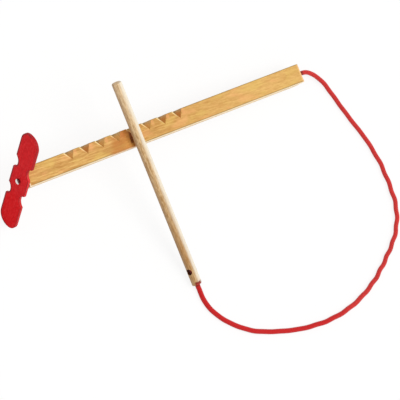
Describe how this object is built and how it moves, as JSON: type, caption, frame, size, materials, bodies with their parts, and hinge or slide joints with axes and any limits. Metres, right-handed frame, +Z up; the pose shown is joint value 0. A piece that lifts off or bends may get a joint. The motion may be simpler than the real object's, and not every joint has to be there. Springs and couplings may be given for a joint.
{
  "type": "whimmy diddle",
  "caption": "Folk toy: a notched square stick with a loose propeller on a nail at its end, and a round rubbing dowel tied to its other end by a cord.",
  "frame": {"origin": "on the table, at the middle of the box round the stick, the propeller and the dowel", "axes": "+X along the stick from its propeller to its cord end, +Y across the stick towards its notched edge, +Z up from the table"},
  "size_m": [0.2558, 0.1836, 0.066],
  "materials": {
    "honey_wood": "bare sanded hardwood, honey coloured",
    "pale_wood": "bare sanded birch, paler and streaky",
    "red_paint": "thin wood dyed or painted red, satin",
    "nail_steel": "bright drawn nail",
    "red_cord": "round braided red cord"
  },
  "bodies": {
    "stick": {"notched_stick": "honey_wood", "pivot_nail": "nail_steel", "cord_anchor": "red_cord", "cord": "red_cord"},
    "propeller": {"propeller": "red_paint"},
    "dowel": {"rub_dowel": "pale_wood", "cord_knot": "red_cord"}
  },
  "joints": [
    {"name": "propeller_spin", "type": "hinge", "parent": "stick", "child": "propeller", "pos_m": [-0.10393, 0.03172, 0.03278], "axis": [0.9922, 0, -0.1245], "continuous": true},
    {"name": "rub_stroke", "type": "slide", "parent": "stick", "child": "dowel", "axis": [0.9236, 0.3833, 0], "range_m": [-0.0487, 0.0365], "deforming": ["cord"]}
  ]
}
